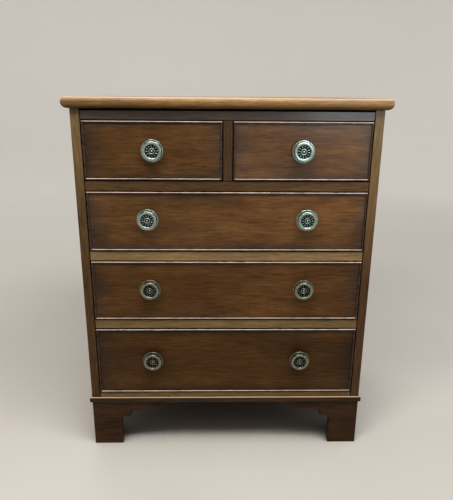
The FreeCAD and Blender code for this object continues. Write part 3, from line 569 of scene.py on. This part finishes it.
def studio_floor_paint(tone, backdrop):
    """Pale matt paint with the faintest unevenness.

    Close under something it is painted darker, a painted shadow, and what is far off is seen brighter than it is
    lit.
    """
    shadow_reach = 0.3
    near = 0.8
    distant = 3.4
    bench = Bench("studio_floor_paint")
    place = bench.add("ShaderNodeTexCoord", "Object")
    patch = bench.noise(place, 1.5, 3.0, 0.5)
    darker = tuple(0.94 * part for part in tone)
    painted_shadow = tuple(0.2 * part for part in tone)
    opening = bench.add("ShaderNodeAmbientOcclusion", "AO", {"Distance": shadow_reach}, samples=8)
    path = bench.tree.nodes.new("ShaderNodeLightPath").outputs
    seen = bench.maths("MAXIMUM", path["Is Camera Ray"], path["Is Glossy Ray"])
    seen = bench.maths("MAXIMUM", seen, path["Is Transmission Ray"])
    far = bench.add("ShaderNodeVectorMath", "Value", {0: place}, operation="LENGTH")
    glow = bench.maths("MULTIPLY", seen, bench.remap(far, near, distant, 0.0, backdrop))
    uneven = bench.mix(bench.remap(patch, 0.3, 0.7), darker, tone)
    return bench.finish(
        # Painted shadow: the paint goes dark where something is close above it.
        Base_Color=bench.mix(bench.remap(opening, 0.55, 0.2), uneven, painted_shadow),
        Roughness=bench.remap(patch, 0.3, 0.7, 0.8, 0.9), Specular_IOR_Level=0.1,
        Emission_Color=tone, Emission_Strength=glow)


def finish_for(slot, kind, timber):
    """The material of one kind of board, made the first time that it is asked for."""
    name = f"{slot}_{kind}_finish"
    if name in bpy.data.materials:
        return bpy.data.materials[name]
    if slot == "oak":
        return plain_wood(name, timber.oak_dark, timber.oak_light, OAK_PORES)
    if slot == "pine":
        return plain_wood(name, timber.pine_dark, timber.pine_light, PINE_PORES)
    dark, light = getattr(timber, kind + "_dark"), getattr(timber, kind + "_light")
    if kind == "bead":
        return rubbed_bead(name, dark, light, timber.bead_polish)
    return mahogany(name, dark, light, timber)


# Boards

def soften(piece, arris):
    """Rounds the edges of a board as handling does, and leaves its own mesh alone."""
    weld = piece.modifiers.new("weld", "WELD")
    weld.merge_threshold = 0.01 * MM
    flat = piece.modifiers.new("flat", "DECIMATE")
    flat.decimate_type = "DISSOLVE"
    flat.angle_limit = math.radians(0.5)
    edge = piece.modifiers.new("arris", "BEVEL")
    edge.width = arris
    edge.segments = 2
    edge.limit_method = "ANGLE"
    edge.angle_limit = math.radians(35)
    edge.miter_outer = "MITER_ARC"
    shade = piece.modifiers.new("shade", "WEIGHTED_NORMAL")
    shade.keep_sharp = True


def dress(
        node, grain, timber, tone=0.0, arris=None, kind=None, dark_bordered=False, fade=0.0,
        fade_from=ALL_BLEACHED, ledge=NO_WEAR_OR_LIGHT, dirt_low=NO_GAP_DIRT_OR_SHADE, dirt_high=NO_GAP_DIRT_OR_SHADE,
        gloss=1.0, cloudiness=1.0):
    """Gives a board its timber, its grain and its softened edges.

    A dark-bordered board gets darker and duller towards its borders. A faded one is bleached from a height
    upwards, or all over, and a ledge is painted pale where it faces up, as rubbed wood with a painted highlight,
    and painted dark where it faces down, a painted shade. A painted strip of shade and dirt lies so far in from
    its low and its high borders. Gloss is how much polish it has against others of its kind, and cloudiness how
    uneven its colour is. With no arris its edges stay as they are.
    """
    piece = frame["nodes"][node]
    slot = SLOT_OF[node]
    kind = kind or slot.split("_")[-1]
    chance = random.Random(node)
    figure_shift = 20.0
    tone_spread = 0.04
    piece["board_shift"] = [chance.uniform(-figure_shift, figure_shift) for axis in range(3)]
    piece["grain_stretch"] = list(grain)
    piece["board_tone"] = tone + chance.uniform(-tone_spread, tone_spread)
    piece["board_fade"] = [fade, *fade_from]
    piece["ledge_wear"] = list(ledge)
    piece["wax_border"] = 1.0 if dark_bordered else 0.0
    piece["cloudiness"] = cloudiness
    piece["board_polish"] = gloss * getattr(timber, kind + "_polish", 0.0)
    low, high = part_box(node)
    piece["board_low"] = list(low)
    piece["board_high"] = list(high)
    piece["dirt_low"] = list(dirt_low)
    piece["dirt_high"] = list(dirt_high)
    piece.data.materials.clear()
    piece.data.materials.append(finish_for(slot, kind, timber))
    arris = timber.arris if arris is None else arris
    if arris:
        soften(piece, arris)


# Knobs

def spin(bm, rings, layer):
    """Skins rings of points into faces. Each point is its place and how hollow the metal is there."""
    loops = []
    for ring in rings:
        loop = []
        for place, hollow in ring:
            vertex = bm.verts.new(place)
            vertex[layer] = hollow
            loop.append(vertex)
        loops.append(loop)
    for inner, outer in zip(loops, loops[1:]):
        for i in range(len(inner)):
            j = (i + 1) % len(inner)
            bm.faces.new((inner[i], inner[j], outer[j], outer[i]))
    bm.faces.new(loops[-1])
    bm.faces.new(reversed(loops[0]))


def arc(centre, radius, start, end, steps):
    """Points of a round stretch of a profile, between two angles in degrees."""
    for i in range(steps + 1):
        turn = math.radians(start + (end - start) * i / steps)
        yield centre[0] + radius * math.cos(turn), centre[1] + radius * math.sin(turn)


def petal_rise(reach, across):
    """How far a petal that broadens to its round tip stands up, 0 to 1.

    Reach runs 0 to 1 from root to tip, and across is the distance from its middle over half its width.
    """
    broadest = 0.72
    root_width = 0.14
    end_height = 0.6
    rounding = max(0.0, reach - broadest) / (1.0 - broadest)
    half = (root_width + (1.0 - root_width) * reach) * math.sqrt(max(0.0, 1.0 - rounding * rounding))
    if abs(across) >= half:
        return 0.0
    crest = end_height + (1.0 - end_height) * math.sin(math.pi * reach)
    return crest * math.sqrt(1.0 - (across / half) ** 2)


class Knob:
    """One rosette knob, worked out from the size of the packed one and the settings.

    Each ring also says how hollow the metal is there: 0 where it is rubbed clean, 1 where dirt stays.
    """

    AROUND = 144
    PETAL_STEPS = 24
    PETAL_CLEANED = 0.62

    # The ring round the boss: half its width, the height of its wall, and the groove on either side
    COLLAR_HALF = 0.9 * MM
    COLLAR_WALL = 0.6 * MM
    GROOVE_WIDE = 0.3 * MM
    GROOVE_DEEP = 0.2 * MM

    # Between the petals and the rim
    TIP_GAP = 0.6 * MM

    # Behind the flange: how far it leans back to the neck, the cove above the plate and the plate's edge
    FLANGE_IN = 3 * MM
    FLANGE_LEAN = 0.5 * MM
    NECK_FLARE = 1 * MM
    COVE = 4 * MM
    PLATE_ROUND = 1.2 * MM
    PLATE_EASE = 0.2 * MM

    # A step too small to see, which keeps neighbouring rings apart
    HAIR = 0.1 * MM

    def __init__(self, settings, radius, projection, turn):
        self.settings = settings
        self.radius = radius
        self.top = projection
        self.floor = projection - settings.field_depth
        self.turn = turn

    def ring(self, radius, out, hollow):
        """A plain ring of points about the knob's axis, which points out of the drawer along -Y."""
        points = []
        for i in range(self.AROUND):
            turn = math.tau * i / self.AROUND
            points.append((Vector((radius * math.cos(turn), -out, radius * math.sin(turn))), hollow))
        return points

    def rings_along(self, profile, hollow):
        """Plain rings along a stretch of the profile."""
        return [self.ring(radius, out, hollow) for radius, out in profile]

    def field_ring(self, radius, root, tip):
        """A ring of the rosette's field, raised where its petals are."""
        points = []
        for i in range(self.AROUND):
            turn = math.tau * i / self.AROUND
            pitch = math.tau / self.settings.petals
            across = ((turn + self.turn) % pitch - pitch / 2) * radius / (self.settings.petal_width / 2)
            rise = petal_rise((radius - root) / (tip - root), across)
            out = self.floor + self.settings.petal_height * rise
            place = Vector((radius * math.cos(turn), -out, radius * math.sin(turn)))
            points.append((place, 1.0 - self.PETAL_CLEANED * rise))
        return points

    def rosette(self):
        """The middle of the face: a boss, the ring round it and the petals, in a dirty field."""
        settings = self.settings
        boss = settings.boss_radius
        collar = settings.collar_radius
        groove = self.floor - self.GROOVE_DEEP
        wall_top = (collar, self.floor + self.COLLAR_WALL)
        made = [self.ring(0.04 * boss, self.floor + boss, 0.0)]
        made += self.rings_along(arc((0.0, self.floor), boss, 82, 12, 7), 0.0)
        made.append(self.ring(boss + self.GROOVE_WIDE, groove, 1.0))
        made.append(self.ring(collar - self.COLLAR_HALF - self.GROOVE_WIDE, groove, 1.0))
        made += self.rings_along(arc(wall_top, self.COLLAR_HALF, 180, 0, 8), 0.1)
        root = collar + self.COLLAR_HALF + self.GROOVE_WIDE
        tip = settings.rim_radius - settings.rim_width - self.TIP_GAP
        for i in range(self.PETAL_STEPS + 1):
            made.append(self.field_ring(root + (tip - root) * i / self.PETAL_STEPS, root, tip))
        return made

    def rim(self):
        """The raised rim, the hollow outside it and the thin flange behind."""
        settings = self.settings
        half = settings.rim_width / 2
        hollow = settings.rim_hollow
        ledge = settings.flange_front
        lip = settings.flange_edge / 2
        outer = settings.rim_radius
        edge = self.top - settings.rim_crown
        made = [self.ring(outer - settings.rim_width - self.HAIR, self.floor, 1.0)]
        for across, up in arc((0.0, 0.0), 1.0, 180, 0, 16):
            made.append(self.ring(outer - half + half * across, edge + settings.rim_crown * up, 0.0))
        made.append(self.ring(outer, ledge + 2.0 * hollow, 0.3))
        made += self.rings_along(arc((outer + hollow, ledge + hollow), hollow, 180, 270, 8), 0.9)
        made.append(self.ring(outer + 1.3 * hollow, ledge, 0.35))
        made += self.rings_along(arc((self.radius - lip, ledge - lip), lip, 90, -80, 10), 0.3)
        return made

    def stem(self):
        """The back of the flange, the neck and the plate against the drawer."""
        settings = self.settings
        back = settings.flange_front - settings.flange_edge
        neck = settings.neck_radius
        cove = self.COVE
        thick = settings.plate_thick
        soft = self.PLATE_ROUND
        edge = settings.plate_radius
        made = [self.ring(self.radius - self.FLANGE_IN, back - self.HAIR, 0.5)]
        made.append(self.ring(neck + self.NECK_FLARE, back - self.FLANGE_LEAN, 0.7))
        made += self.rings_along(arc((neck + cove, thick + cove), cove, 180, 265, 8), 0.7)
        made.append(self.ring(edge - soft - 2 * self.PLATE_EASE, thick, 0.5))
        made += self.rings_along(arc((edge - soft, thick - soft), soft, 85, 0, 6), 0.2)
        made.append(self.ring(edge, self.PLATE_EASE, 0.8))
        made.append(self.ring(edge - self.PLATE_EASE, 0.0, 0.8))
        return made

    def rings(self):
        """Every ring, from the middle of the face, over the rim, down the neck and to the plate's back."""
        return self.rosette() + self.rim() + self.stem()


def fixing_rings(inside, back):
    """The square nut inside the drawer front and the end of the screw, as two skins of rings."""
    square_sides = 4
    round_sides = 24

    def ring(radius, y, sides, hollow):
        turns = [math.tau * (i + 0.5) / sides for i in range(sides)]
        return [(Vector((radius * math.cos(t), y, radius * math.sin(t))), hollow) for t in turns]

    outside = inside + NUT_THICK
    narrow_nut = NUT_CORNER - FIXING_CHAMFER
    nut = [
        ring(narrow_nut, inside, square_sides, 0.5),
        ring(NUT_CORNER, inside + FIXING_CHAMFER, square_sides, 0.2),
        ring(NUT_CORNER, outside - FIXING_CHAMFER, square_sides, 0.2),
        ring(narrow_nut, outside, square_sides, 0.2)]
    screw = [
        ring(STUD_RADIUS, outside, round_sides, 0.3),
        ring(STUD_RADIUS, back - FIXING_CHAMFER, round_sides, 0.1),
        ring(STUD_RADIUS - FIXING_CHAMFER, back, round_sides, 0.1)]
    return nut, screw


def knob_places(drawer):
    """Where the knobs of one drawer stand: the middle of each, on the face of the drawer front."""
    low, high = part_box(drawer + "_knobs")
    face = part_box(drawer + "_front")[0].y
    radius = (high.z - low.z) / 2
    level = (low.z + high.z) / 2
    across = [low.x + radius]
    if high.x - low.x > 3 * radius:
        across.append(high.x - radius)
    return [Vector((x, face, level)) for x in across], radius, face - low.y


def make_knobs(drawer, settings, brass, dulling):
    """The knobs of one drawer with their screws and nuts, as one piece in place of the packed ones.

    Their brass is made duller by the given share: tarnish, and on the lower drawers painted shade as well.
    """
    places, radius, projection = knob_places(drawer)
    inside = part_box(drawer + "_front")[1].y
    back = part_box(drawer + "_knobs")[1].y
    bm = bmesh.new()
    layer = bm.verts.layers.float.new("hollow")
    for index, place in enumerate(places):
        knob = Knob(settings, radius, projection, random.Random(drawer + str(index)).uniform(0.0, 1.0))
        for skin in (knob.rings(), *fixing_rings(inside - place.y, back - place.y)):
            before = len(bm.verts)
            spin(bm, skin, layer)
            bm.verts.ensure_lookup_table()
            for vertex in bm.verts[before:]:
                vertex.co += place
    bmesh.ops.recalc_face_normals(bm, faces=bm.faces)
    mesh = bpy.data.meshes.new(drawer + "_rosette_knobs")
    bm.to_mesh(mesh)
    bm.free()
    mesh.shade_smooth()
    mesh.set_sharp_from_angle(angle=math.radians(40))
    mesh.materials.append(brass)
    piece = bpy.data.objects.new(drawer + "_rosette_knobs", mesh)
    bpy.context.scene.collection.objects.link(piece)
    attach(piece, drawer)
    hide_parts(drawer + "_knobs")
    piece["dulling"] = dulling


# Stage

def studio_cove(tone, backdrop):
    """A round floor that curves up into a wall, so that no edge shows behind the chest."""
    centre = 0.01
    halfway = 1.2
    flat = 3.4
    sweep = 1.1
    height = 3.4
    around = 96
    steps = 12
    profile = [(centre, 0.0), (halfway, 0.0)]
    profile += arc((flat, sweep), sweep, -90, 0, steps)
    profile.append((flat + sweep, height))
    bm = bmesh.new()
    loops = []
    for radius, level in profile:
        turns = [math.tau * i / around for i in range(around)]
        loops.append([bm.verts.new((radius * math.cos(t), radius * math.sin(t), level)) for t in turns])
    for inner, outer in zip(loops, loops[1:]):
        for i in range(around):
            j = (i + 1) % around
            bm.faces.new((inner[i], outer[i], outer[j], inner[j]))
    bm.faces.new(loops[0])
    mesh = bpy.data.meshes.new("studio_cove")
    bm.to_mesh(mesh)
    bm.free()
    mesh.shade_smooth()
    mesh.materials.append(studio_floor_paint(tone, backdrop))
    cove = bpy.data.objects.new("studio_cove", mesh)
    bpy.context.scene.collection.objects.link(cove)


def soft_lamp(name, watts, place, target, size, tint, spread):
    """A large oblong lamp that faces a point and isn't seen itself. Its light fans out by the spread."""
    lamp = bpy.data.lights.new(name, "AREA")
    lamp.spread = spread
    lamp.energy = watts
    lamp.shape = "RECTANGLE"
    lamp.size, lamp.size_y = size
    lamp.color = tint
    holder = bpy.data.objects.new(name, lamp)
    holder.location = place
    holder.rotation_euler = (Vector(target) - Vector(place)).to_track_quat("-Z", "Y").to_euler()
    holder.visible_camera = False
    bpy.context.scene.collection.objects.link(holder)


def even_light(strength):
    """The same plain grey light from every side."""
    world = bpy.data.worlds.new("even_light")
    world.use_nodes = True
    shade = world.node_tree.nodes["Background"]
    shade.inputs["Color"].default_value = (1.0, 1.0, 1.0, 1.0)
    shade.inputs["Strength"].default_value = strength
    bpy.context.scene.world = world


def photo_camera(studio):
    """The camera at the photograph's place, turned, tilted and leaned as it was."""
    forward = Vector((
        math.sin(studio.yaw) * math.cos(studio.pitch),
        math.cos(studio.yaw) * math.cos(studio.pitch),
        -math.sin(studio.pitch)))
    right = Vector((math.cos(studio.yaw), -math.sin(studio.yaw), 0.0))
    turned = Matrix((right, right.cross(forward), -forward)).transposed().to_4x4()
    lens = bpy.data.cameras.new("photo_camera")
    lens.lens = studio.lens
    lens.sensor_fit = "AUTO"
    lens.sensor_width = 36.0
    camera = bpy.data.objects.new("photo_camera", lens)
    camera.matrix_world = Matrix.Translation(studio.eye) @ turned @ Matrix.Rotation(studio.roll, 4, "Z")
    bpy.context.scene.collection.objects.link(camera)
    bpy.context.scene.camera = camera


# Operators

class CHEST_OT_top(bpy.types.Operator):
    """Finish the moulded top board"""

    bl_idname = "chest.top"
    bl_label = "Finish Top"

    def execute(self, context):
        timber = context.scene.chest_timber
        dress("top_board", GRAIN_ACROSS, timber, arris=TOP_ARRIS, kind="top", ledge=TOP_WEAR_AND_LIGHT)
        return {"FINISHED"}


class CHEST_OT_sides(bpy.types.Operator):
    """Finish the two side boards, whose front edges show as the stiles"""

    bl_idname = "chest.sides"
    bl_label = "Finish Sides"

    def execute(self, context):
        timber = context.scene.chest_timber
        dress(
            "left_side", GRAIN_UPRIGHT, timber, LEFT_TONE, fade=SIDE_FADE, fade_from=STILES_BLEACHED,
            dirt_high=STILE_GAP_DIRT_AND_SHADE)
        dress(
            "right_side", GRAIN_UPRIGHT, timber, RIGHT_TONE, fade=SIDE_FADE, fade_from=STILES_BLEACHED,
            dirt_low=STILE_GAP_DIRT_AND_SHADE)
        return {"FINISHED"}


class CHEST_OT_rails(bpy.types.Operator):
    """Finish the rails between the drawers and the upright between the short ones"""

    bl_idname = "chest.rails"
    bl_label = "Finish Rails"

    def execute(self, context):
        timber = context.scene.chest_timber
        for node, (tone, fade) in RAIL_LOOKS.items():
            dress(node, GRAIN_ACROSS, timber, tone, fade=fade, dirt_low=RAIL_GAP_DIRT_AND_SHADE, dirt_high=RAIL_GAP_DIRT_AND_SHADE)
        dress(
            "frieze_rail", GRAIN_ACROSS, timber, kind="frieze", dirt_low=RAIL_GAP_DIRT_AND_SHADE,
            dirt_high=UNDER_TOP_SHADE_AND_DIRT)
        tone, fade = MUNTIN_LOOK
        dress("muntin", GRAIN_UPRIGHT, timber, tone, fade=fade, dirt_low=MUNTIN_GAP_DIRT_AND_SHADE, dirt_high=MUNTIN_GAP_DIRT_AND_SHADE)
        return {"FINISHED"}


class CHEST_OT_base(bpy.types.Operator):
    """Finish the base moulding and the four bracket feet"""

    bl_idname = "chest.base"
    bl_label = "Finish Base"

    def execute(self, context):
        timber = context.scene.chest_timber
        dress("base_moulding_front", GRAIN_ACROSS, timber, BASE_TONE, CRISP_ARRIS, ledge=BASE_WEAR_AND_LIGHT)
        for side in ("left", "right"):
            moulding = "base_moulding_" + side
            dress(moulding, GRAIN_BACKWARDS, timber, BASE_TONE, CRISP_ARRIS, ledge=BASE_WEAR_AND_LIGHT)
            for end in ("front", "rear"):
                dress(f"{end}_{side}_foot", GRAIN_LEVEL, timber)
        return {"FINISHED"}


class CHEST_OT_inside(bpy.types.Operator):
    """Finish the plain boards that the outside hides, and the screws that hold the top"""

    bl_idname = "chest.inside"
    bl_label = "Finish Inside"

    def execute(self, context):
        timber = context.scene.chest_timber
        for node in ("bottom_board", "rear_top_rail", "drawer_stops"):
            dress(node, GRAIN_ACROSS, timber)
        for node in ("runners", "centre_guide", "kickers"):
            dress(node, GRAIN_BACKWARDS, timber)
        for node in ("back_boards", "foot_blocks"):
            dress(node, GRAIN_UPRIGHT, timber)
        screws = frame["nodes"]["top_screws"]
        screws.data.materials.clear()
        screws.data.materials.append(dull_steel())
        return {"FINISHED"}


class CHEST_OT_drawer_fronts(bpy.types.Operator):
    """Finish the drawer fronts and the beads round them"""

    bl_idname = "chest.drawer_fronts"
    bl_label = "Finish Drawer Fronts"

    def execute(self, context):
        timber = context.scene.chest_timber
        for drawer, (tone, gloss, cloudiness, _) in DRAWER_LOOKS.items():
            dress(
                drawer + "_front", GRAIN_ACROSS, timber, tone, CRISP_ARRIS, dark_bordered=True, gloss=gloss,
                cloudiness=cloudiness)
            dress(drawer + "_cock_bead", GRAIN_LEVEL, timber, arris=0.0)
        return {"FINISHED"}


class CHEST_OT_drawer_boxes(bpy.types.Operator):
    """Finish the sides, backs and bottoms of the drawers"""

    bl_idname = "chest.drawer_boxes"
    bl_label = "Finish Drawer Boxes"

    def execute(self, context):
        timber = context.scene.chest_timber
        for drawer in DRAWERS:
            for side in ("_left_side", "_right_side"):
                dress(drawer + side, GRAIN_BACKWARDS, timber)
            dress(drawer + "_back", GRAIN_ACROSS, timber)
            dress(drawer + "_bottom", GRAIN_ACROSS, timber)
        return {"FINISHED"}


class CHEST_OT_knobs(bpy.types.Operator):
    """Make the rosette knobs of every drawer"""

    bl_idname = "chest.knobs"
    bl_label = "Make Knobs"

    def execute(self, context):
        settings = context.scene.chest_brass
        brass = aged_brass(settings)
        for drawer in DRAWERS:
            *_, dulling = DRAWER_LOOKS[drawer]
            make_knobs(drawer, settings, brass, dulling)
        return {"FINISHED"}


class CHEST_OT_stage(bpy.types.Operator):
    """Set up the floor, the lamps and the camera"""

    bl_idname = "chest.stage"
    bl_label = "Set Up Studio"

    def execute(self, context):
        studio = context.scene.chest_studio
        context.scene.view_settings.view_transform = "Standard"
        studio_cove(studio.floor, studio.backdrop)
        even_light(studio.daylight)
        for name, lamp in LAMPS.items():
            soft_lamp(name + "_lamp", getattr(studio, name), *lamp)
        photo_camera(studio)
        return {"FINISHED"}


class CHEST_PT_workshop(bpy.types.Panel):
    """The steps that finish the chest, and what may be changed about it"""

    bl_idname = "CHEST_PT_workshop"
    bl_label = "Chest of Drawers"
    bl_space_type = "VIEW_3D"
    bl_region_type = "UI"
    bl_category = "Chest"

    def draw(self, context):
        for operator in OPERATORS:
            self.layout.operator(operator.bl_idname)
        for name, group in GROUPS.items():
            box = self.layout.box()
            box.label(text=group.__doc__)
            for field in group.__annotations__:
                box.prop(getattr(context.scene, name), field)


GROUPS = {"chest_timber": ChestTimber, "chest_brass": ChestBrass, "chest_studio": ChestStudio}
OPERATORS = (
    CHEST_OT_top, CHEST_OT_sides, CHEST_OT_rails, CHEST_OT_base, CHEST_OT_inside,
    CHEST_OT_drawer_fronts, CHEST_OT_drawer_boxes, CHEST_OT_knobs, CHEST_OT_stage)


def register():
    for made in (*GROUPS.values(), *OPERATORS, CHEST_PT_workshop):
        bpy.utils.register_class(made)
    for name, group in GROUPS.items():
        setattr(bpy.types.Scene, name, PointerProperty(type=group))


def unregister():
    for name in GROUPS:
        delattr(bpy.types.Scene, name)
    for made in (CHEST_PT_workshop, *reversed(OPERATORS), *GROUPS.values()):
        bpy.utils.unregister_class(made)


def main():
    register()
    bpy.ops.chest.top()
    bpy.ops.chest.sides()
    bpy.ops.chest.rails()
    bpy.ops.chest.base()
    bpy.ops.chest.inside()
    bpy.ops.chest.drawer_fronts()
    bpy.ops.chest.drawer_boxes()
    bpy.ops.chest.knobs()
    bpy.ops.chest.stage()


if __name__ == "__main__":
    main()
